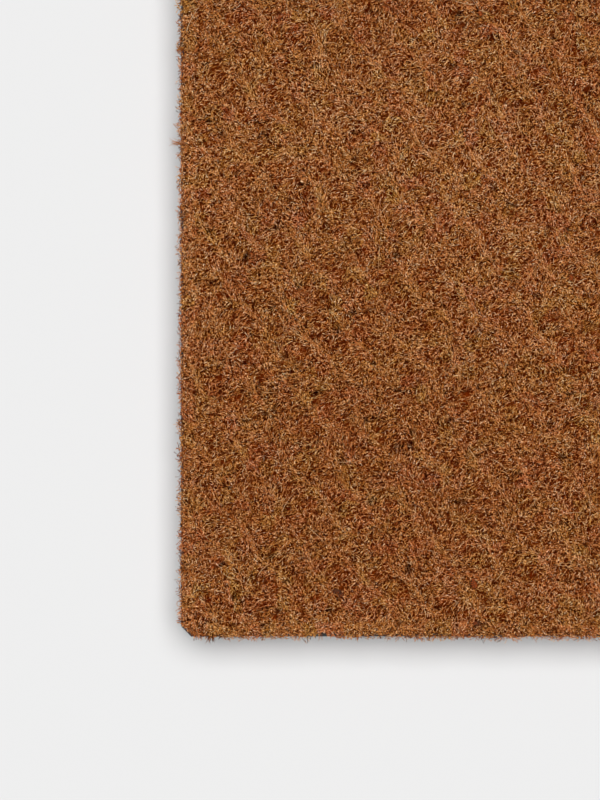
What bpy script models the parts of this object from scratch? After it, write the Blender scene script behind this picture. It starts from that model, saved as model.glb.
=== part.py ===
"""Door mat: coir pile planted in rows in a vinyl backing sheet.

Metres, +Z up. The origin is the centre of the underside. +X runs along the long side, in line
with the tuft rows, and +Y runs across them.

The backing is one sheet with a shallow channel in its top for each row of tufts. The pile is
made in bands of two neighbouring rows: each row has its own foot in its own channel, and the
two rows grow into each other above it, where real tufts splay and interlock. Every band is a
separate solid.
"""

import math

import bmesh
import bpy

# Driving dimensions.
MAT_LENGTH = 0.600  # along X
MAT_DEPTH = 0.400  # along Y
MAT_HEIGHT = 0.016  # underside of the backing to the crown of the pile
CORNER_CUT = 0.0033  # leg of the small 45 degree cut at each corner of the mat
CLEARANCE = 0.0003  # gap between two solids that touch on the real mat

# The backing sheet and its channels.
BACKING_THICKNESS = 0.0030
CHANNEL_DEPTH = 0.0014

# The pile. A row is the unit that is planted in one stroke across the sheet.
ROW_COUNT = 88
ROWS_PER_BAND = 2
BARE_EDGE = 0.0002  # backing left uncovered outside the pile, all round
FOOT_WIDTH = 0.0028  # a row where it stands in the backing
SPLAY_HEIGHT = 0.0060  # where a row has splayed to its full width
JOIN_HEIGHT = 0.0054  # where the two rows of a band grow into each other
CROWN_RISE = 0.0009  # how far a row's top curves down towards its neighbour
CROWN_SEGMENTS = 4

ROW_PITCH = (MAT_DEPTH - 2 * BARE_EDGE) / ROW_COUNT
BAND_COUNT = ROW_COUNT // ROWS_PER_BAND
BAND_PITCH = ROW_PITCH * ROWS_PER_BAND
CHANNEL_WIDTH = FOOT_WIDTH + 2 * CLEARANCE

COIR = {"name": "coir", "color": (0.220, 0.080, 0.027), "roughness": 0.85}
VINYL = {"name": "backing_vinyl", "color": (0.022, 0.021, 0.020), "roughness": 0.55}


def clear_scene():
    for obj in list(bpy.data.objects):
        bpy.data.objects.remove(obj, do_unlink=True)


def new_collection(name):
    collection = bpy.data.collections.new(name)
    bpy.context.scene.collection.children.link(collection)
    return collection


def new_material(look):
    material = bpy.data.materials.new(look["name"])
    material.use_nodes = True
    shader = material.node_tree.nodes["Principled BSDF"]
    shader.inputs["Base Color"].default_value = (*look["color"], 1.0)
    shader.inputs["Roughness"].default_value = look["roughness"]
    shader.inputs["Metallic"].default_value = 0.0
    return material


def row_centre(row):
    """Where a row stands across the mat, counted from the front edge."""
    return (row + 0.5 - ROW_COUNT / 2) * ROW_PITCH


def band_centre(band):
    return (band + 0.5 - BAND_COUNT / 2) * BAND_PITCH


def extruded_mesh(name, outline, thickness):
    """A mesh of a flat outline in local XY, thickened evenly to both sides along local Z."""
    curve = bpy.data.curves.new(name, "CURVE")
    curve.dimensions = "2D"
    curve.fill_mode = "BOTH"
    curve.extrude = thickness / 2
    spline = curve.splines.new("POLY")
    spline.points.add(len(outline) - 1)
    for point, (x, y) in zip(spline.points, outline, strict=True):
        point.co = (x, y, 0.0, 1.0)
    spline.use_cyclic_u = True

    guide = bpy.data.objects.new(name, curve)
    bpy.context.scene.collection.objects.link(guide)
    bpy.context.view_layer.update()
    graph = bpy.context.evaluated_depsgraph_get()
    mesh = bpy.data.meshes.new_from_object(guide.evaluated_get(graph))
    bpy.data.objects.remove(guide)
    bpy.data.curves.remove(curve)

    solid = bmesh.new()
    solid.from_mesh(mesh)
    bmesh.ops.remove_doubles(solid, verts=solid.verts, dist=1e-6)
    bmesh.ops.recalc_face_normals(solid, faces=solid.faces)
    solid.to_mesh(mesh)
    solid.free()
    mesh.name = name
    return mesh


def place(name, mesh, material, collection, parent, location=(0.0, 0.0, 0.0), rotation=(0.0, 0.0, 0.0)):
    obj = bpy.data.objects.new(name, mesh)
    collection.objects.link(obj)
    obj.parent = parent
    obj.location = location
    obj.rotation_euler = rotation
    if material is not None and not mesh.materials:
        mesh.materials.append(material)
    return obj


def crown(centre, half_width):
    """Points over the rounded top of one row, as (across, up), from one side to the other."""
    radius = (half_width**2 + CROWN_RISE**2) / (2 * CROWN_RISE)
    half_angle = math.asin(half_width / radius)
    points = []
    for step in range(CROWN_SEGMENTS + 1):
        angle = half_angle * (2 * step / CROWN_SEGMENTS - 1)
        across = centre + radius * math.sin(angle)
        up = MAT_HEIGHT - radius * (1 - math.cos(angle))
        points.append((across, up))
    return points


def band_outline():
    """Section of a band of two rows, as (across, up) about the band's centre."""
    foot_bottom = BACKING_THICKNESS - CHANNEL_DEPTH + CLEARANCE
    foot_top = BACKING_THICKNESS + CLEARANCE
    outer = BAND_PITCH / 2 - CLEARANCE / 2
    left, right = -ROW_PITCH / 2, ROW_PITCH / 2
    half_foot = FOOT_WIDTH / 2
    half_row = ROW_PITCH / 2 - CLEARANCE / 2

    left_foot = [
        (left + half_foot, foot_top),
        (left + half_foot, foot_bottom),
        (left - half_foot, foot_bottom),
        (left - half_foot, foot_top),
    ]
    right_foot = [
        (right + half_foot, foot_top),
        (right + half_foot, foot_bottom),
        (right - half_foot, foot_bottom),
        (right - half_foot, foot_top),
    ]
    join = (0.0, JOIN_HEIGHT)
    left_side = (-outer, SPLAY_HEIGHT)
    right_side = (outer, SPLAY_HEIGHT)
    return [
        join,
        *left_foot,
        left_side,
        *crown(left, half_row),
        *crown(right, half_row),
        right_side,
        *right_foot,
    ]


def backing_outline():
    """Section of the backing, as (across, up), with a channel in its top under each row."""
    half_depth = MAT_DEPTH / 2
    half_channel = CHANNEL_WIDTH / 2
    floor = BACKING_THICKNESS - CHANNEL_DEPTH
    points = [(half_depth, BACKING_THICKNESS), (half_depth, 0.0), (-half_depth, 0.0)]
    points.append((-half_depth, BACKING_THICKNESS))
    for row in range(ROW_COUNT):
        middle = row_centre(row)
        points.append((middle - half_channel, BACKING_THICKNESS))
        points.append((middle - half_channel, floor))
        points.append((middle + half_channel, floor))
        points.append((middle + half_channel, BACKING_THICKNESS))
    return points


def mat_outline():
    """The mat from above: a rectangle whose four corners are cut off at 45 degrees."""
    half_length, half_depth = MAT_LENGTH / 2, MAT_DEPTH / 2
    points = []
    for x, y in ((1, 1), (-1, 1), (-1, -1), (1, -1)):
        beside = (x * half_length, y * (half_depth - CORNER_CUT))
        below = (x * (half_length - CORNER_CUT), y * half_depth)
        points += [beside, below] if x == y else [below, beside]
    return points


def make_cutter(collection):
    """A block with the mat's outline. What it holds is what the knife leaves of a sheet."""
    height = 3 * MAT_HEIGHT
    mesh = extruded_mesh("mat_outline_cutter", mat_outline(), height)
    cutter = place("mat_outline_cutter", mesh, None, collection, None)
    cutter.hide_render = True
    cutter.display_type = "WIRE"
    return cutter


def trim_to_outline(obj, cutter):
    trim = obj.modifiers.new("trim_to_outline", "BOOLEAN")
    trim.operation = "INTERSECT"
    trim.solver = "EXACT"
    trim.object = cutter


def build():
    clear_scene()
    parts = new_collection("door_mat")
    cutters = new_collection("cutters")
    cutter = make_cutter(cutters)
    coir = new_material(COIR)
    vinyl = new_material(VINYL)

    root = bpy.data.objects.new("door_mat_origin", None)
    parts.objects.link(root)

    # The sections are drawn across and up, and stand in the YZ plane, thickened along X.
    stand_up = (math.radians(90), 0.0, math.radians(90))

    mesh = extruded_mesh("backing", backing_outline(), MAT_LENGTH)
    backing = place("backing", mesh, vinyl, parts, root, rotation=stand_up)
    trim_to_outline(backing, cutter)

    band_length = MAT_LENGTH - 2 * BARE_EDGE
    mesh = extruded_mesh("tuft_rows", band_outline(), band_length)
    for band in range(BAND_COUNT):
        name = f"tuft_rows_{band + 1:02d}"
        location = (0.0, band_centre(band), 0.0)
        rows = place(name, mesh, coir, parts, root, location, stand_up)
        if band in (0, BAND_COUNT - 1):
            trim_to_outline(rows, cutter)


build()
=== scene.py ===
"""Looks of the coir door mat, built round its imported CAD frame.

Every band of tuft rows in the frame is replaced by the strands it stands for. Each strand is a
closed three-sided spike, with a blunt cut end or worn to a point. The strands grow out of a lumpy
brown body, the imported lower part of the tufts. At the mat's edges some run all the way down to the
backing. Metres, +Z up, the mat at the origin.
"""

import math

import bmesh
import bpy
import numpy as np
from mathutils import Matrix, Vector, noise


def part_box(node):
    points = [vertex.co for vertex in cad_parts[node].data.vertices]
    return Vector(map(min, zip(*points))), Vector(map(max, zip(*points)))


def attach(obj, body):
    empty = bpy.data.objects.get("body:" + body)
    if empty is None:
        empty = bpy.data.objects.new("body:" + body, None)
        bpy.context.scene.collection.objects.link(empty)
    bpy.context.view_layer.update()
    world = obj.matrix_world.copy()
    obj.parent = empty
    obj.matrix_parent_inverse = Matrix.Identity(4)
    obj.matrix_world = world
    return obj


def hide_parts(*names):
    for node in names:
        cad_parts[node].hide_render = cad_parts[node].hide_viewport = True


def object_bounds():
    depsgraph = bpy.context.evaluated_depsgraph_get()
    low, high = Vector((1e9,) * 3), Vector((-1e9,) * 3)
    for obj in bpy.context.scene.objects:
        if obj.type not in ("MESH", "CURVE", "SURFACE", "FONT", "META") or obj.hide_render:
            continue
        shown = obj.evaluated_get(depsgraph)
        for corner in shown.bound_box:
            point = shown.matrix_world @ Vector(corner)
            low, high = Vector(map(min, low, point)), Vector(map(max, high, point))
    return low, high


SEED = 20
MM = 0.001

# The pile: its tufts, in rows that wander a little.
TUFT_PITCH = 4.5 * MM  # along a row, before it is fitted to the row's length
ROWS_PER_BAND = 2
TUFT_JITTER = 0.75 * MM
TUFT_DOME = 0.6 * MM  # how much lower a tuft's rim is than its middle
TUFT_DROP = 0.18 * MM  # how unlike in height the tufts are
TUFT_TONE = 0.022  # and in tone, of the whole range from dark to pale
TUFT_HUE = 0.15  # and in hue, of the whole range from red to yellow
DRIFT_WAVES = (210 * MM, 130 * MM)  # slow changes of tone, across the rows and along them
DRIFT_TONES = (0.030, 0.012)
WARP = 0.42 * MM  # how far each of the waves below shifts a row
WARP_WAVES = (9 * MM, 13 * MM, 19 * MM, 28 * MM, 41 * MM, 67 * MM)
WARP_FADE = 8 * MM  # over this distance from the mat's edges
HOLE_SHARE = 0.11  # share of the corners between tufts that stay open
HOLE_RADIUS = 1.1 * MM
HOLE_DEPTH = 4.5 * MM
HOLE_JITTER = 0.7 * MM

# The strands. The corner that the photograph shows has all of them.
SHORT_STRANDS = 90  # in each tuft, straight, with a blunt cut end
BENT_STRANDS = 26  # in each tuft, bent, and worn to a point
WALL_STRANDS = 30  # more in each tuft at the mat's edge, down to the backing
DETAIL_LENGTH = 150 * MM
DETAIL_DEPTH = 222 * MM
DETAIL_FADE = 25 * MM
FAR_SHARE = 0.34  # share of the strands that stand in the rest of the pile
FAR_THICKER = 0.4  # they are thicker by this power of how many times fewer they are
STRAND_RADIUS = 0.114 * MM
RADIUS_SPREAD = 0.25
SHORT_REACH = (2.1 * MM, 3.5 * MM)  # the least and the greatest length that is modelled
BENT_REACH = ((0.8 * MM, 1.8 * MM), (1.7 * MM, 3.0 * MM))  # each, above and below the bend
SHORT_THICKER = 1.05  # than STRAND_RADIUS
BENT_THICKER = 1.15
WALL_THICKER = (1.5, 1.4, 1.1)  # at each joint above the root
TIP_SPREAD = 0.52 * MM  # how unlike in height the strands of one tuft are

# How the strands lean, in degrees off the vertical.
LEAN = 25
RIM_LEAN = 16  # how much more they lean at a tuft's rim
LEAN_SPREAD = 17
LEAN_LIMITS = (2, 76)
RANDOM_LEAN = 0.85  # share of the strands that lean any way, and not out from their tuft
BEND = 25
BEND_SPREAD = 12

# The strands' tones and hues, as shares of the whole range from dark to pale or from red to yellow.
TONE_SPREAD = 0.24
PALE_SHARE = 0.05  # of the strands stand out as pale
PALE_TONES = (0.22, 0.40)  # how much paler they are than their tuft
DARK_SHARE = 0.06
DARK_TONES = (0.30, 0.48)
HUE_SPREAD = 0.13

# The strands at the mat's edges.
SUNK = 0.5 * MM  # how far one reaches into the backing
EDGE_PAINTED_SHADE = 0.20  # painted shade: they are darker, as the pile's edge is in shade
EDGE_SHARE = 1.4  # they stand closer together
EDGE_DROP = 0.7 * MM  # and the pile is rounded there
EDGE_WIDTH = 1.6 * MM

# Joints of a wall strand, from the root up: how far it has spread over its tuft, how far it may
# pass the mat's outline, how unlike in this the strands are, and the least and the greatest height.
# The root itself stands SUNK under the top of the backing.
WALL_JOINTS = (
    (0.7, -0.9 * MM, 0.1 * MM, 2.5 * MM, 2.5 * MM),
    (0.95, 0.30 * MM, 0.15 * MM, 6.0 * MM, 8.0 * MM),
    (1.0, 0.65 * MM, 0.30 * MM, 10.5 * MM, 12.5 * MM),
    (1.1, 0.85 * MM, 0.45 * MM, 13.3 * MM, 15.4 * MM),
)
WALL_JITTER = 0.45 * MM

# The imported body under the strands.
BODY_DROP = 4.2 * MM  # its top under the crown of the pile
BODY_STEP = 3.0 * MM
BODY_ROWS = 4
BODY_INSET = 0.7 * MM  # from the mat's edges
BODY_EDGE_DROP = 3.0 * MM
BODY_EDGE_WIDTH = 4.0 * MM
BODY_LAP = 0.2 * MM  # past the band's box, to close the gap to the next one
BODY_BULGE = 0.7 * MM  # how far it rises in the middle of each tuft
BODY_LUMPS = 0.3 * MM
# The body is darker than the strands: a painted shade of the deep pile.
BODY_TONE = 0.30
BODY_SIDE_TONE = 0.4

# The edges, where the knife cut the pile.
WANDER = 0.24 * MM  # how far each of two waves takes the cut off a straight line
WANDER_WAVES = (37 * MM, 11.3 * MM)
SPILL = 1.15 * MM  # how far the strands there pass the mat's outline
TUFT_SPILL = 0.28 * MM  # how unlike the tufts are in this
STRAND_SPILL = 0.55 * MM  # and the strands of one tuft
SPILL_FROM = 3.0 * MM  # strands nearer than this to the outline spill
HOLD_BACK = 0.3 * MM  # their lower joints stay this far inside it
CORNER_CUT = 6.0 * MM  # leg of the cut at each corner, before the strands spill over it
WORN_WIDTH = 1.0 * MM  # the left edge has been pushed in, near the near left corner
WORN_AT = 10.5 * MM
WORN_REACH = 6.0 * MM
BARE_FROM = 42.0 * MM  # here the pile stands back from the front edge, and the backing shows
BARE_TO = 50.5 * MM
BARE_WIDTH = 2.6 * MM
BARE_RAMP = 2.0 * MM  # over this distance from either end

# Loose strands on the pile.
LOOSE_STRANDS = 1500
LOOSE_JOINTS = 6
LOOSE_INSET = 5 * MM  # from the mat's edges
LOOSE_LENGTH = 5.5 * MM
LOOSE_LENGTHS = (3 * MM, 14 * MM)  # the least and the greatest
LOOSE_SINK = 1.0 * MM  # how far their ends are under the crown
LOOSE_RISE = (0.2 * MM, 0.7 * MM)  # how far their middles are above it
LOOSE_RADIUS = (0.07 * MM, 0.115 * MM)

# What sticks out over the edges: the edge, how far along it, how far out, how many strands and how
# pale. Places along an edge count from the near left corner.
STRAYS = (
    ("left", 165.0 * MM, 4.5 * MM, 12, 0.45),
    ("left", 171.0 * MM, 2.4 * MM, 5, 0.55),
    ("left", 196.6 * MM, 2.0 * MM, 22, 0.42),
    ("left", 7.2 * MM, 0.9 * MM, 4, 0.95),
    ("front", 9.4 * MM, 2.3 * MM, 12, 0.18),
    ("front", 10.8 * MM, 1.9 * MM, 14, 0.14),
    ("front", 45.0 * MM, 0.9 * MM, 2, 0.95),
)
STRAY_EVERY = 9 * MM  # one more at random, for each such length of an edge
STRAY_REACH = (0.6 * MM, 2.2 * MM)
STRAY_RADIUS = 0.085 * MM

# Single strands that lie on an arc: its middle, counted from the near left corner, its radius, where
# on it the strand starts and ends, in turns, how far above the crown it is and how pale.
ARCS = (
    ((-0.2 * MM, 11.4 * MM), 1.0 * MM, 0.05, 1.0, -0.6 * MM, 0.60),
    ((6.0 * MM, 214.5 * MM), 7.8 * MM, 0.36, 0.62, -0.6 * MM, 0.80),
    ((26.3 * MM, 195.0 * MM), 25.3 * MM, 0.375, 0.458, 0.15 * MM, 1.00),
    ((62.4 * MM, -0.2 * MM), 20.0 * MM, 0.487, 0.513, -1.0 * MM, -0.35),
)
ARC_JOINTS = 16
ARC_RADIUS = 0.11 * MM
ARC_CLIMB = 0.03 * MM  # from one joint to the next, so that a loop clears itself

# Crumbs of husk: how far from the near left corner, how big and how pale.
FLECKS = (
    ((52.2 * MM, 15.6 * MM), 1.0 * MM, 0.0),
    ((53.6 * MM, 14.3 * MM), 0.8 * MM, 0.0),
    ((98.0 * MM, 17.8 * MM), 1.3 * MM, 0.12),
    ((98.7 * MM, 4.8 * MM), 0.9 * MM, 0.0),
)
FLECK_COUNT = 45  # more of them at random places
FLECK_SIZES = (0.35 * MM, 0.8 * MM)
FLECK_TONES = (0.0, 0.3)
FLECK_SHAPE = (1.35, 0.85, 0.5)  # length, width and thickness, of its size
FLECK_LUMPS = 0.45
FLECK_DROP = 0.55 * MM  # its middle under the crown

# The photograph's framing: its size, and how far it reaches past the mat's near left corner.
FRAME_WIDTH = 200 * MM
FRAME_HEIGHT = FRAME_WIDTH * 800 / 600
LEFT_MARGIN = 60.1 * MM
FRONT_MARGIN = 54.0 * MM
LENS = 260.0
SENSOR = 36.0

# The light: one very large overhead panel, so far up that the whole floor is lit alike.
LIGHT_HEIGHT = 150.0
LIGHT_SPREAD = 0.58  # half its width, as a share of its height
LIGHT_LEAN = (0.0, 0.22)  # how far it is off to the side, as a share of its height
LIGHT_POWER = 17.6  # watts, at a height of 1 m
SKY_LIGHT = 0.05  # of the world on the mat
SKY_BRIGHTNESS = 0.86  # of the world as the camera sees it past the floor
FLOOR_SIZE = 60.0
FLOOR_DROP = 0.1 * MM  # under the mat, so that the two don't share a face


def random_for(name):
    """A generator of its own for each piece, so that a change to one leaves the others alone."""
    return np.random.default_rng([SEED, *name.encode()])


def new_piece(name, mesh, material, replaced=None):
    mesh.materials.append(material)
    piece = bpy.data.objects.new(name, mesh)
    bpy.context.scene.collection.objects.link(piece)
    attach(piece, "root")
    if replaced:
        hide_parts(replaced)
    return piece


# ---------------------------------------------------------------- meshes


class Bundle:
    """Collects strands and bodies into one mesh, with a tone, a hue and a height for each point."""

    SIDES = 3

    def __init__(self):
        self.verts, self.shades = [], []
        self.faces = {}
        self.count = 0

    def put(self, verts, shade, faces):
        """faces is {corners in a face: array of faces}, counted from the first of verts."""
        self.verts.append(verts.reshape(-1, 3))
        self.shades.append(shade.reshape(-1, 3))
        for corners, array in faces.items():
            self.faces.setdefault(corners, []).append(array.reshape(-1, corners) + self.count)
        self.count += self.verts[-1].shape[0]

    def add_strands(self, path, radius, tone, hue, pointed=False):
        """path is (strands, joints, 3), from the root, which is a point, to the tip.

        The tip is cut off blunt, or pointed. radius is (strands, rings), one for each joint that
        isn't a point, and tone and hue are (strands,).
        """
        strands, joints, _ = path.shape
        along = np.gradient(path, axis=1)
        along /= np.linalg.norm(along, axis=2, keepdims=True)
        chord = path[:, -1] - path[:, 0]
        flat = np.stack([-chord[:, 1], chord[:, 0], np.full(strands, 1e-9)], 1)[:, None, :]
        across = flat - along * (flat * along).sum(2, keepdims=True)
        across /= np.linalg.norm(across, axis=2, keepdims=True)
        third = np.cross(along, across)

        sides, rings = self.SIDES, radius.shape[1]
        angle = 2 * math.pi * np.arange(sides)[None, None, :, None] / sides
        round_joints = slice(1, 1 + rings)
        ring = np.cos(angle) * across[:, round_joints, None, :]
        ring = ring + np.sin(angle) * third[:, round_joints, None, :]
        ring = path[:, round_joints, None, :] + ring * radius[:, :, None, None]
        body = ring.reshape(strands, rings * sides, 3)
        verts = np.concatenate([path[:, :1], body] + ([path[:, -1:]] if pointed else []), axis=1)
        per_strand = verts.shape[1]

        fan = [[0, 1 + (side + 1) % sides, 1 + side] for side in range(sides)]
        last = 1 + (rings - 1) * sides
        cap = [[last + side for side in range(sides)]]
        if pointed:
            cap = [[last + side, last + (side + 1) % sides, per_strand - 1] for side in range(sides)]
        walls = []
        for level in range(rings - 1):
            for side in range(sides):
                here = 1 + level * sides + side
                there = 1 + level * sides + (side + 1) % sides
                walls.append([here, there, there + sides, here + sides])
        first = per_strand * np.arange(strands)[:, None, None]
        faces = {3: np.array(fan + cap)[None] + first}
        if walls:
            faces[4] = np.array(walls)[None] + first

        shade = np.empty((strands, per_strand, 3))
        shade[:, :, 0] = tone[:, None]
        shade[:, :, 1] = hue[:, None]
        height = np.concatenate([[0], np.repeat(np.arange(1, rings + 1), sides), [joints - 1]])
        shade[:, :, 2] = height[:per_strand] / (joints - 1)
        self.put(verts, shade, faces)

    def add_body(self, grid, bottom, tone, hue):
        """A closed body with a lumpy top, which is grid, (columns, rows, 3)."""
        across, up, _ = grid.shape
        base = grid[:, [0, -1]].copy()
        base[:, :, 2] = bottom
        index = np.arange(across * up).reshape(across, up)
        under = across * up + np.arange(across * 2).reshape(across, 2)

        def strip(a, b):
            return np.stack([a[:-1], a[1:], b[1:], b[:-1]], 1)

        quads = [
            np.stack([index[:-1, :-1], index[1:, :-1], index[1:, 1:], index[:-1, 1:]], -1).reshape(-1, 4),
            strip(under[:, 0], index[:, 0]),
            strip(index[:, -1], under[:, 1]),
            strip(under[:, 1], under[:, 0]),
        ]
        near = [*index[0, :], under[0, 1], under[0, 0]]
        far = [*index[-1, ::-1], under[-1, 0], under[-1, 1]]
        verts = np.concatenate([grid.reshape(-1, 3), base.reshape(-1, 3)])
        # The body's height is 0 throughout, so the material gives it the darkest painted root shade.
        shade = np.zeros((len(verts), 3))
        shade[: across * up, 0] = tone.ravel()
        shade[: across * up, 1] = hue.ravel()
        shade[across * up :, 0:2] = BODY_SIDE_TONE
        self.put(verts, shade, {4: np.concatenate(quads), len(near): np.array([near, far])})

    def mesh(self, name):
        verts = np.concatenate(self.verts)
        loops, starts = [], []
        total = 0
        for corners, arrays in self.faces.items():
            array = np.concatenate(arrays)
            loops.append(array.ravel())
            starts.append(total + corners * np.arange(len(array)))
            total += array.size
        loops, starts = np.concatenate(loops), np.concatenate(starts)
        mesh = bpy.data.meshes.new(name)
        mesh.vertices.add(len(verts))
        mesh.vertices.foreach_set("co", verts.astype(np.float32).ravel())
        mesh.loops.add(len(loops))
        mesh.loops.foreach_set("vertex_index", loops.astype(np.int32))
        mesh.polygons.add(len(starts))
        mesh.polygons.foreach_set("loop_start", starts.astype(np.int32))
        mesh.update(calc_edges=True)
        mesh.shade_smooth()
        layer = mesh.attributes.new("strand", "FLOAT_VECTOR", "POINT")
        shades = np.concatenate(self.shades)
        layer.data.foreach_set("vector", shades.astype(np.float32).ravel())
        return mesh


def trace(tip, reach, lean, azimuth):
    """Strands traced from their tips down. reach, lean and azimuth are (strands, segments).

    The segments are counted from the top. Returns (strands, segments + 1, 3), root first.
    """
    points = [tip]
    for segment in range(reach.shape[1]):
        tilt, turn = lean[:, segment], azimuth[:, segment]
        flat = np.sin(tilt)
        step = np.stack([flat * np.cos(turn), flat * np.sin(turn), np.cos(tilt)], 1)
        points.append(points[-1] - step * reach[:, segment, None])
    return np.stack(points[::-1], axis=1)


# ---------------------------------------------------------------- the pile


def wander(along, phase):
    """How far the knife's cut strays from a straight line, at each place along an edge."""
    slow = np.sin(2 * math.pi * along / WANDER_WAVES[0] + phase)
    quick = np.sin(2 * math.pi * along / WANDER_WAVES[1] + 2.1 * phase)
    return WANDER * (slow + quick)


def inland(points, low, high):
    """How far points are from the nearest of the mat's edges, with its cut corners."""
    from_side = np.minimum(points[..., 0] - low.x, high.x - points[..., 0])
    from_end = np.minimum(points[..., 1] - low.y, high.y - points[..., 1])
    from_corner = (from_side + from_end - CORNER_CUT) / math.sqrt(2)
    return np.minimum.reduce([from_side, from_end, from_corner])


def keep_on_mat(points, slack, low, high):
    """Moves points that stand past the mat's outline back to it. slack is how far each may pass."""
    x, y = points[:, 0].copy(), points[:, 1].copy()
    from_corner = x - low.x
    bare = np.minimum(from_corner - BARE_FROM, BARE_TO - from_corner) / BARE_RAMP
    front = low.y + wander(x, 1.0) + BARE_WIDTH * np.clip(bare, 0, 1) - slack
    back = high.y + wander(x, 2.0) + slack
    left = low.x + wander(y, 3.0) - slack
    left = left + WORN_WIDTH * np.clip(1 - np.abs(y - low.y - WORN_AT) / WORN_REACH, 0, 1)
    right = high.x + wander(y, 4.0) + slack
    y = np.clip(y, front, back)
    x = np.clip(x, left, right)
    for side_x in (-1, 1):
        for side_y in (-1, 1):
            edge_x = high.x if side_x > 0 else low.x
            edge_y = high.y if side_y > 0 else low.y
            room = side_x * (edge_x - x) + side_y * (edge_y - y)
            short = np.clip(CORNER_CUT - slack - room, 0, None) / 2
            x = x - side_x * short
            y = y - side_y * short
    points[:, 0], points[:, 1] = x, y


def warp(points, low, high):
    """Shifts points along the mat as its rows wander. What lies side by side stays side by side."""
    x, y = points[..., 0], points[..., 1]
    strength = np.clip(inland(points, low, high) / WARP_FADE, 0, 1) * WARP
    shift_x = np.zeros_like(x)
    shift_y = np.zeros_like(y)
    rng = random_for("warp")
    for wave in WARP_WAVES:
        turn = rng.uniform(0, 2 * math.pi)
        phase = rng.uniform(0, 2 * math.pi, 2)
        along = 2 * math.pi * (x * math.cos(turn) + y * math.sin(turn)) / wave
        shift_x += np.sin(along + phase[0])
        shift_y += np.sin(along + phase[1])
    points[..., 0] = x + strength * shift_x
    points[..., 1] = y + strength * shift_y


def drift(x, y):
    """Slow changes of tone over the mat, in waves across the rows and along them."""
    bent = y + 155 * MM + 12 * MM * np.sin(9 * x)
    across = np.sin(2 * math.pi * bent / DRIFT_WAVES[0] - math.pi / 2)
    along = np.sin(2 * math.pi * (x + 0.4 * y) / DRIFT_WAVES[1])
    return DRIFT_TONES[0] * across + DRIFT_TONES[1] * along


class Tufts:
    """The tufts of the whole pile: where they stand, and what all strands of one share."""

    def __init__(self, low, high, rows):
        rng = random_for("tufts")
        self.low = np.array([low.x, low.y])
        size = np.array([high.x, high.y]) - self.low
        self.shape = np.array([round(size[0] / TUFT_PITCH), rows])
        self.cell = size / self.shape
        self.count = self.shape.prod()
        self.column, self.row = np.divmod(np.arange(self.count), rows)
        self.centre = self.low + (np.stack([self.column, self.row], 1) + 0.5) * self.cell
        self.centre = self.centre + rng.normal(0, TUFT_JITTER, (self.count, 2))
        self.drop = np.abs(rng.normal(0, TUFT_DROP, self.count))
        self.tone = rng.normal(0, TUFT_TONE, self.count) + drift(*self.centre.T)
        self.hue = 0.5 + rng.normal(0, TUFT_HUE, self.count)
        self.spill = rng.normal(SPILL, TUFT_SPILL, self.count)
        beyond = self.centre - self.low - np.array([DETAIL_LENGTH, DETAIL_DEPTH])
        near = np.clip(1 - beyond.max(axis=1) / DETAIL_FADE, 0, 1)
        self.share = FAR_SHARE + (1 - FAR_SHARE) * near
        self.crowding = np.ones(self.count)
        self.crowding[self.at_edge(np.arange(self.count))] = EDGE_SHARE

        corners = np.stack(np.meshgrid(*(np.arange(n + 1) for n in self.shape)), -1).reshape(-1, 2)
        corners = self.low + corners * self.cell
        self.holes = corners[rng.random(len(corners)) < HOLE_SHARE]
        self.holes = self.holes + rng.normal(0, HOLE_JITTER, self.holes.shape)
        self.hole_size = HOLE_RADIUS * rng.uniform(0.5, 1.1, len(self.holes))

    def in_rows(self, first, last):
        return np.flatnonzero((self.row >= first) & (self.row < last))

    def repeated(self, cells, strands):
        """Each cell once for every strand that starts in it."""
        share = self.share[cells] * self.crowding[cells]
        return np.repeat(cells, np.round(strands * share).astype(int))

    def at_edge(self, cells):
        last_column, last_row = self.shape - 1
        along = (self.column[cells] == 0) | (self.column[cells] == last_column)
        return cells[along | (self.row[cells] == 0) | (self.row[cells] == last_row)]

    def place(self, rng, cells):
        """A place for a strand in each of these cells."""
        corner = np.stack([self.column, self.row], 1)[cells]
        return self.low + (corner + rng.random(corner.shape)) * self.cell

    def nearest(self, place):
        """The tuft that each place belongs to."""
        column, row = np.floor((place - self.low) / self.cell).astype(int).T
        best = np.full(len(place), np.inf)
        owner = np.zeros(len(place), int)
        for column_step in (-1, 0, 1):
            for row_step in (-1, 0, 1):
                other_column = np.clip(column + column_step, 0, self.shape[0] - 1)
                other_row = np.clip(row + row_step, 0, self.shape[1] - 1)
                other = other_column * self.shape[1] + other_row
                away = np.hypot(*(place - self.centre[other]).T)
                owner = np.where(away < best, other, owner)
                best = np.minimum(away, best)
        return owner

    def hole_depth(self, place):
        """How far down the pile is at each place because it stayed open there."""
        low, high = place[:, 1].min() - 2 * HOLE_RADIUS, place[:, 1].max() + 2 * HOLE_RADIUS
        near = (self.holes[:, 1] > low) & (self.holes[:, 1] < high)
        away = np.hypot(*(place[:, None] - self.holes[None, near]).transpose(2, 0, 1))
        return HOLE_DEPTH * np.clip(1.5 - away / self.hole_size[near], 0, 1).max(axis=1)


def strand_looks(rng, tufts, owner, edge):
    """Strands' tones, hues and radii. edge is how near each is to the mat's edge, 0 to 1."""
    size = len(owner)
    own_tone = rng.normal(0, TONE_SPREAD, size)
    pale = rng.random(size) < PALE_SHARE
    dark = rng.random(size) < DARK_SHARE
    own_tone[pale] = rng.uniform(*PALE_TONES, pale.sum())
    own_tone[dark] = -rng.uniform(*DARK_TONES, dark.sum())
    # Painted shade: strands near the mat's edge get a darker tone.
    tone = np.clip(0.5 + tufts.tone[owner] + own_tone - EDGE_PAINTED_SHADE * edge, 0.02, 0.98)
    hue = np.clip(tufts.hue[owner] + rng.normal(0, HUE_SPREAD, size), 0, 1)
    radius = STRAND_RADIUS * tufts.share[owner] ** -FAR_THICKER
    return tone, hue, radius * np.exp(rng.normal(0, RADIUS_SPREAD, size))


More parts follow.
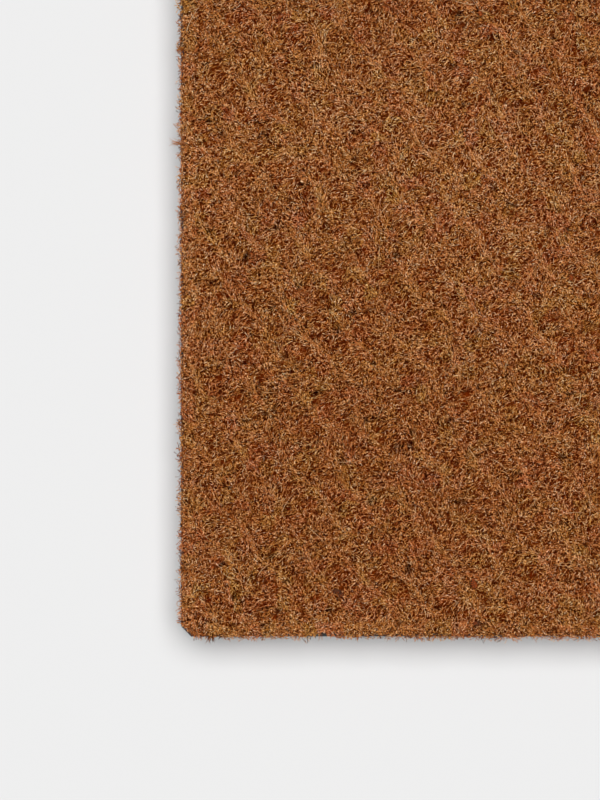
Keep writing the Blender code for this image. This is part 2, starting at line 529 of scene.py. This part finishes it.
def top_strands(rng, tufts, cells, segments, top, low, high):
    """The tips of strands in these cells, how each segment leans, their tufts, and their edges."""
    size = len(cells)
    place = tufts.place(rng, cells)
    owner = tufts.nearest(place)
    home = place - tufts.centre[owner]
    away = np.hypot(*home.T) / (0.5 * tufts.cell[1])
    edge = np.clip(1 - inland(place, low, high) / EDGE_WIDTH, 0, 1)
    drop = tufts.drop[owner] + TUFT_DOME * away**2 + np.abs(rng.normal(0, TIP_SPREAD, size))
    tip = np.column_stack([place, top - drop - EDGE_DROP * edge - tufts.hole_depth(place)])

    azimuth = np.arctan2(home[:, 1], home[:, 0]) + rng.normal(0, 1.0, size)
    stray = rng.random(size) < RANDOM_LEAN
    azimuth[stray] = rng.uniform(0, 2 * math.pi, stray.sum())
    lean = np.radians(np.clip(rng.normal(LEAN + RIM_LEAN * away, LEAN_SPREAD), *LEAN_LIMITS))

    # Strands near the mat's edges spill a little over them.
    spill = tufts.spill[owner] + rng.normal(0, STRAND_SPILL, size)
    for axis in (0, 1):
        for side, limit in ((-1, low[axis]), (1, high[axis])):
            near = np.clip(1 - side * (limit - tip[:, axis]) / SPILL_FROM, 0, 1)
            tip[:, axis] += side * near * spill
    keep_on_mat(tip, spill, low, high)
    azimuth = np.repeat(azimuth[:, None], segments, axis=1)
    lean = np.repeat(lean[:, None], segments, axis=1)
    return tip, azimuth, lean, owner, edge


def settle(path, low, high):
    """Brings all but the tips of strands back over the mat, and shifts the strands with their row."""
    for joint in range(path.shape[1] - 1):
        keep_on_mat(path[:, joint], np.full(len(path), -HOLD_BACK), low, high)
    warp(path, low, high)
    return path


def packed_body(rng, tufts, band_low, band_high, low, high):
    """The lumpy top of a band's body, as a grid, with its tones and hues."""
    near_edge = tufts.cell[1] / 2
    front = band_low.y + (BODY_INSET if band_low.y - low.y < near_edge else -BODY_LAP)
    back = band_high.y - (BODY_INSET if high.y - band_high.y < near_edge else -BODY_LAP)
    left, right = band_low.x + BODY_INSET, band_high.x - BODY_INSET
    steps = round((right - left) / BODY_STEP)
    x, y = np.linspace(left, right, steps + 1), np.linspace(front, back, BODY_ROWS + 1)
    flat = np.stack(np.meshgrid(x, y, indexing="ij"), -1)
    place = flat.reshape(-1, 2)
    home = place - tufts.centre[tufts.nearest(place)]
    bulge = np.clip(1 - np.hypot(*home.T) / (0.6 * tufts.cell[1]), 0, 1)
    hole = tufts.hole_depth(place)
    count = len(place)
    edge = np.clip(1 - inland(place, low, high) / BODY_EDGE_WIDTH, 0, 1)
    top = band_high.z - BODY_DROP - BODY_EDGE_DROP * edge - hole
    top = top + BODY_BULGE * bulge + rng.normal(0, BODY_LUMPS, count)
    top = np.column_stack([place, top])
    keep_on_mat(top, np.full(count, -BODY_INSET), low, high)
    grid = top.reshape(*flat.shape[:2], 3)
    warp(grid, low, high)
    # Painted shade: the body's tone falls towards black in the holes.
    tone = BODY_TONE * (1 - hole / HOLE_DEPTH) + rng.normal(0, 0.1, count)
    hue = 0.5 + rng.normal(0, 0.1, count)
    return grid, tone, hue


def pile_band(node, band, tufts, low, high):
    """The strands of one band of two tuft rows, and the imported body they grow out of."""
    rng = random_for(node)
    band_low, band_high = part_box(node)
    root_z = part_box("backing")[1].z - SUNK
    top = band_high.z
    cells = tufts.in_rows(band * ROWS_PER_BAND, (band + 1) * ROWS_PER_BAND)
    bundle = Bundle()

    grid, tone, hue = packed_body(rng, tufts, band_low, band_high, low, high)
    bundle.add_body(grid, root_z, tone, hue)

    own = tufts.repeated(cells, SHORT_STRANDS)
    tip, azimuth, lean, owner, edge = top_strands(rng, tufts, own, 1, top, low, high)
    tone, hue, thick = strand_looks(rng, tufts, owner, edge)
    reach = rng.uniform(*SHORT_REACH, (len(own), 1))
    path = settle(trace(tip, reach, lean, azimuth), low, high)
    bundle.add_strands(path, thick[:, None] * SHORT_THICKER, tone, hue)

    own = tufts.repeated(cells, BENT_STRANDS)
    tip, azimuth, lean, owner, edge = top_strands(rng, tufts, own, 2, top, low, high)
    tone, hue, thick = strand_looks(rng, tufts, owner, edge)
    bend = np.radians(rng.normal(BEND, BEND_SPREAD, len(own)))
    lean[:, 0] = np.clip(lean[:, 0] + bend, 0.1, 1.5)
    azimuth[:, 0] += rng.normal(0, 0.8, len(own))
    reach = rng.uniform(*BENT_REACH, (len(own), 2))
    path = settle(trace(tip, reach, lean, azimuth), low, high)
    bundle.add_strands(path, thick[:, None] * BENT_THICKER, tone, hue, pointed=True)

    # Edge tufts stand in the open, so some of their strands show all the way down.
    own = np.repeat(tufts.at_edge(cells), WALL_STRANDS)
    place = tufts.place(rng, own)
    # The wall strands get the full painted edge shade.
    tone, hue, thick = strand_looks(rng, tufts, own, 1.0)
    outward = 0.6 * rng.normal(0, 1, len(own)) + 0.8 * (tufts.spill[own] - SPILL) / TUFT_SPILL
    joints = []
    for spread, slack, unlike, low_z, high_z in WALL_JOINTS:
        flat = tufts.centre[own] + (place - tufts.centre[own]) * spread
        flat = flat + rng.normal(0, WALL_JITTER, flat.shape)
        joint = np.column_stack([flat, rng.uniform(low_z, high_z, len(own))])
        keep_on_mat(joint, slack + unlike * outward, low, high)
        joints.append(joint)
    joints[0][:, 2] = root_z
    path = np.stack(joints, axis=1)
    warp(path, low, high)
    bundle.add_strands(path, thick[:, None] * np.array(WALL_THICKER), tone, hue)
    return bundle.mesh("coir_" + node)


def loose_strands(mat_low, mat_high):
    """Long pale strands that lie on the pile, caught in it at both ends."""
    rng = random_for("loose_strands")
    low = np.array(mat_low[:2]) + LOOSE_INSET
    high = np.array(mat_high[:2]) - LOOSE_INSET
    length = np.clip(rng.lognormal(math.log(LOOSE_LENGTH), 0.4, LOOSE_STRANDS), *LOOSE_LENGTHS)
    bend = rng.normal(0, 0.9, LOOSE_STRANDS)
    heading = rng.uniform(0, 2 * math.pi, LOOSE_STRANDS)
    place = rng.uniform(low, high, (LOOSE_STRANDS, 2))
    rise = rng.uniform(*LOOSE_RISE, LOOSE_STRANDS)
    step = (length / (LOOSE_JOINTS - 1))[:, None]
    path = np.empty((LOOSE_STRANDS, LOOSE_JOINTS, 3))
    for joint in range(LOOSE_JOINTS):
        share = joint / (LOOSE_JOINTS - 1)
        turn = heading + bend * share
        path[:, joint, :2] = place
        arch = math.sin(math.pi * share)
        path[:, joint, 2] = mat_high.z - LOOSE_SINK + (LOOSE_SINK + rise) * arch
        place = place + step * np.stack([np.cos(turn), np.sin(turn)], 1)
    thick = rng.uniform(*LOOSE_RADIUS, LOOSE_STRANDS)
    radius = thick[:, None] * np.ones(LOOSE_JOINTS - 2)
    tone = rng.uniform(0.75, 0.98, LOOSE_STRANDS)
    hue = rng.uniform(0.45, 0.85, LOOSE_STRANDS)
    bundle = Bundle()
    bundle.add_strands(path, radius, tone, hue, pointed=True)
    return bundle.mesh("loose_strands")


def stray_tufts(mat_low, mat_high):
    """Tufts of strands that stick out over the mat's edges, and single ones."""
    rng = random_for("stray_tufts")
    edges = {
        "left": ((mat_low.x, mat_low.y), (0, 1), (-1, 0), mat_high.y - mat_low.y),
        "right": ((mat_high.x, mat_low.y), (0, 1), (1, 0), mat_high.y - mat_low.y),
        "front": ((mat_low.x, mat_low.y), (1, 0), (0, -1), mat_high.x - mat_low.x),
        "back": ((mat_low.x, mat_high.y), (1, 0), (0, 1), mat_high.x - mat_low.x),
    }
    strays = list(STRAYS)
    for edge, (_, _, _, span) in edges.items():
        for _ in range(round(span / STRAY_EVERY)):
            along = rng.uniform(0.03, 0.97) * span
            reach = rng.uniform(*STRAY_REACH)
            strays.append((edge, along, reach, rng.integers(1, 5), rng.uniform(0.1, 0.9)))

    bundle = Bundle()
    for edge, along, reach, count, shade in strays:
        start, sideways, out, _ = (np.array(part) for part in edges[edge])
        own = rng.normal(0, 0.45 * MM, count)
        aim = rng.normal(0, 0.35, count)
        length = reach * rng.uniform(0.5, 1.0, count)
        depth = rng.uniform(1.2, 2.2, count) * MM
        top = mat_high.z - rng.uniform(0.8, 3.5, count) * MM
        sag = rng.normal(0.1, 0.25, count) * length
        path = np.empty((count, 4, 3))
        for joint, share in enumerate((0.0, 0.4, 0.75, 1.0)):
            out_by = -depth + (depth + length) * share
            side_by = own + aim * out_by * share + rng.normal(0, 0.1 * MM, count)
            flat = start + sideways * along + out_by[:, None] * out + side_by[:, None] * sideways
            path[:, joint, :2] = flat
            path[:, joint, 2] = top - sag * share**2
        radius = STRAY_RADIUS * np.exp(rng.normal(0, 0.2, (count, 1))) * np.array([1.1, 0.9])
        tone = np.clip(rng.normal(shade, 0.12, count), -0.4, 0.98)
        bundle.add_strands(path, radius, tone, rng.uniform(0.3, 0.8, count), pointed=True)

    for (x, y), radius, first, last, rise, shade in ARCS:
        turn = 2 * math.pi * np.linspace(first, last, ARC_JOINTS)
        arc = np.empty((1, ARC_JOINTS, 3))
        arc[0, :, 0] = mat_low.x + x + radius * np.cos(turn)
        arc[0, :, 1] = mat_low.y + y + radius * np.sin(turn)
        arc[0, :, 2] = mat_high.z + rise + ARC_CLIMB * np.arange(ARC_JOINTS)
        thick = np.full((1, ARC_JOINTS - 2), ARC_RADIUS)
        bundle.add_strands(arc, thick, np.array([shade]), np.array([0.6]), pointed=True)
    return bundle.mesh("stray_tufts")


def pith_flecks(mat_low, mat_high):
    """Crumbs of dark husk that are caught between the strands."""
    rng = random_for("pith_flecks")
    ball = bmesh.new()
    bmesh.ops.create_icosphere(ball, subdivisions=2, radius=1.0)
    verts = np.array([vert.co[:] for vert in ball.verts])
    tris = np.array([[vert.index for vert in face.verts] for face in ball.faces])
    ball.free()
    low = np.array(mat_low[:2])
    flecks = [(low + np.array(place), size, shade) for place, size, shade in FLECKS]
    for _ in range(FLECK_COUNT):
        place = rng.uniform(mat_low[:2], mat_high[:2]) * 0.97
        flecks.append((place, rng.uniform(*FLECK_SIZES), rng.uniform(*FLECK_TONES)))
    bundle = Bundle()
    for place, size, shade in flecks:
        shift = Vector(rng.uniform(-50, 50, 3))
        lumps = np.array([1 + FLECK_LUMPS * noise.noise(Vector(vert) * 1.3 + shift) for vert in verts])
        turn = rng.uniform(0, math.pi)
        cos, sin = math.cos(turn), math.sin(turn)
        spin = np.array([[cos, sin, 0], [-sin, cos, 0], [0, 0, 1]])
        shape = (verts * lumps[:, None] * np.array(FLECK_SHAPE) * size) @ spin
        shape = shape + np.array([*place, mat_high.z - FLECK_DROP])
        colour = np.tile([shade, 0.25, 0.75], (len(verts), 1))
        bundle.put(shape, colour, {3: tris})
    return bundle.mesh("pith_flecks")


# ---------------------------------------------------------------- materials


def node_of(tree, kind, **values):
    node = tree.nodes.new(kind)
    for key, value in values.items():
        setattr(node, key, value)
    return node


def new_material(name):
    material = bpy.data.materials.new(name)
    material.use_nodes = True
    tree = material.node_tree
    return material, tree, tree.nodes["Principled BSDF"]


def noise_node(tree, scale, detail):
    place = node_of(tree, "ShaderNodeTexCoord")
    texture = node_of(tree, "ShaderNodeTexNoise")
    texture.inputs["Scale"].default_value = scale
    texture.inputs["Detail"].default_value = detail
    tree.links.new(place.outputs["Object"], texture.inputs["Vector"])
    return texture.outputs["Fac"]


def scaled(tree, value, factor, offset):
    """value times factor, plus offset, which is a number or another output."""
    node = node_of(tree, "ShaderNodeMath", operation="MULTIPLY_ADD")
    node.inputs[1].default_value = factor
    tree.links.new(value, node.inputs[0])
    if isinstance(offset, float):
        node.inputs[2].default_value = offset
    else:
        tree.links.new(offset, node.inputs[2])
    return node.outputs[0]


def ramp_node(tree, value, stops):
    ramp = node_of(tree, "ShaderNodeValToRGB")
    elements = ramp.color_ramp.elements
    while len(elements) < len(stops):
        elements.new(0.5)
    for element, (position, colour) in zip(elements, stops, strict=True):
        element.position = position
        element.color = (*colour, 1.0)
    tree.links.new(value, ramp.inputs["Fac"])
    return ramp.outputs["Color"]


def coir_material():
    """Coir strands. Each carries a tone, a hue and its height, and noise varies them along it. Their
    colour is darkened low down, a painted shade.
    """
    material, tree, shader = new_material("coir_strand")
    strand = node_of(tree, "ShaderNodeAttribute", attribute_name="strand")
    parts = node_of(tree, "ShaderNodeSeparateXYZ")
    tree.links.new(strand.outputs["Vector"], parts.inputs["Vector"])
    tone, hue, height = parts.outputs["X"], parts.outputs["Y"], parts.outputs["Z"]

    along = noise_node(tree, scale=3000.0, detail=1.0)
    patch = noise_node(tree, scale=240.0, detail=2.0)
    tone = scaled(tree, along, 0.80, tone)
    tone = scaled(tree, patch, 0.14, tone)
    tone = scaled(tree, tone, 1.0, -0.500)
    stops = [
        (0.0, (0.070, 0.030, 0.014)),
        (0.1, (0.240, 0.052, 0.008)),
        (0.3, (0.470, 0.145, 0.028)),
        (0.55, (0.710, 0.285, 0.076)),
        (0.8, (0.880, 0.480, 0.205)),
        (1.0, (0.930, 0.680, 0.420)),
    ]
    colour = ramp_node(tree, tone, stops)

    shift = node_of(tree, "ShaderNodeHueSaturation")
    tree.links.new(scaled(tree, hue, 0.030, 0.485), shift.inputs["Hue"])
    tree.links.new(colour, shift.inputs["Color"])
    # Painted shade: the colour darkens towards each strand's root, and most in the body, where the pile
    # is in shade.
    root_shade_ramp = ramp_node(tree, height, [(0.0, (0.33, 0.14, 0.04)), (0.85, (1.0, 1.0, 1.0))])
    painted_root_shade = node_of(tree, "ShaderNodeVectorMath", operation="MULTIPLY")
    tree.links.new(shift.outputs["Color"], painted_root_shade.inputs[0])
    tree.links.new(root_shade_ramp, painted_root_shade.inputs[1])
    tree.links.new(painted_root_shade.outputs["Vector"], shader.inputs["Base Color"])

    tree.links.new(scaled(tree, along, 0.3, 0.55), shader.inputs["Roughness"])
    shader.inputs["Specular IOR Level"].default_value = 0.04
    shader.inputs["Specular Tint"].default_value = (1.0, 0.75, 0.45, 1.0)
    return material


def vinyl_material():
    """The backing sheet: near-black soft vinyl, faintly pebbled, a little paler on the pebbles."""
    material, tree, shader = new_material("backing_vinyl")
    pebble = noise_node(tree, scale=1400.0, detail=3.0)
    stops = [(0.0, (0.012, 0.012, 0.013)), (1.0, (0.050, 0.048, 0.046))]
    tree.links.new(ramp_node(tree, pebble, stops), shader.inputs["Base Color"])
    tree.links.new(scaled(tree, pebble, 0.28, 0.42), shader.inputs["Roughness"])
    bump = node_of(tree, "ShaderNodeBump")
    bump.inputs["Strength"].default_value = 0.25
    bump.inputs["Distance"].default_value = 0.3 * MM
    tree.links.new(pebble, bump.inputs["Height"])
    tree.links.new(bump.outputs["Normal"], shader.inputs["Normal"])
    return material


# ---------------------------------------------------------------- stage


def make_floor():
    bpy.ops.mesh.primitive_plane_add(size=FLOOR_SIZE, location=(0.0, 0.0, -FLOOR_DROP))
    floor = bpy.context.object
    floor.name = "studio_floor"
    material, _, shader = new_material("studio_floor")
    shader.inputs["Base Color"].default_value = (0.7, 0.7, 0.7, 1.0)
    shader.inputs["Roughness"].default_value = 1.0
    shader.inputs["Specular IOR Level"].default_value = 0.0
    floor.data.materials.append(material)


def make_light():
    data = bpy.data.lights.new("softbox", "AREA")
    data.shape = "SQUARE"
    data.size = 2 * LIGHT_SPREAD * LIGHT_HEIGHT
    data.energy = LIGHT_POWER * LIGHT_HEIGHT**2
    softbox = bpy.data.objects.new("softbox", data)
    softbox.location = (LIGHT_LEAN[0] * LIGHT_HEIGHT, LIGHT_LEAN[1] * LIGHT_HEIGHT, LIGHT_HEIGHT)
    softbox.visible_camera = False
    bpy.context.scene.collection.objects.link(softbox)

    world = bpy.data.worlds.new("studio")
    bpy.context.scene.world = world
    world.use_nodes = True
    tree = world.node_tree
    sky = tree.nodes["Background"]
    sky.inputs["Color"].default_value = (1.0, 1.0, 1.0, 1.0)
    ray = node_of(tree, "ShaderNodeLightPath")
    strength = node_of(tree, "ShaderNodeMapRange")
    strength.inputs["To Min"].default_value = SKY_LIGHT
    strength.inputs["To Max"].default_value = SKY_BRIGHTNESS
    tree.links.new(ray.outputs["Is Camera Ray"], strength.inputs["Value"])
    tree.links.new(strength.outputs[0], sky.inputs["Strength"])


def make_camera(low, high):
    data = bpy.data.cameras.new("camera")
    data.lens = LENS
    data.sensor_width = SENSOR
    camera = bpy.data.objects.new("camera", data)
    x = low.x - LEFT_MARGIN + FRAME_WIDTH / 2
    y = low.y - FRONT_MARGIN + FRAME_HEIGHT / 2
    distance = FRAME_HEIGHT / SENSOR * LENS
    camera.location = (x, y, high.z + distance)
    bpy.context.scene.collection.objects.link(camera)
    bpy.context.scene.camera = camera


# ---------------------------------------------------------------- assembly

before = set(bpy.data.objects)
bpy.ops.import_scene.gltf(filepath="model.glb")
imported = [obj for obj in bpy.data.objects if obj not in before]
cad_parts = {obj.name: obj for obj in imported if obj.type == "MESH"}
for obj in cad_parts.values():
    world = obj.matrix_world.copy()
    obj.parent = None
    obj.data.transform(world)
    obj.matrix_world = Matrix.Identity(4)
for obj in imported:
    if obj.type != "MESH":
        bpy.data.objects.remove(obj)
CAD_LOW, CAD_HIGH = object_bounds()
make_floor()
make_light()
make_camera(CAD_LOW, CAD_HIGH)
bpy.context.scene.view_settings.view_transform = "Standard"

coir = coir_material()
vinyl = vinyl_material()

bands = sorted(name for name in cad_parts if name.startswith("tuft_rows"))
pile_low, pile_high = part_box(bands[0])[0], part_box(bands[-1])[1]
tufts = Tufts(pile_low, pile_high, ROWS_PER_BAND * len(bands))
for band, name in enumerate(bands):
    mesh = pile_band(name, band, tufts, CAD_LOW, CAD_HIGH)
    new_piece(mesh.name, mesh, coir, name)

for make in (loose_strands, stray_tufts, pith_flecks):
    mesh = make(CAD_LOW, CAD_HIGH)
    new_piece(mesh.name, mesh, coir)

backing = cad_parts["backing"]
backing.data.materials.clear()
backing.data.materials.append(vinyl)
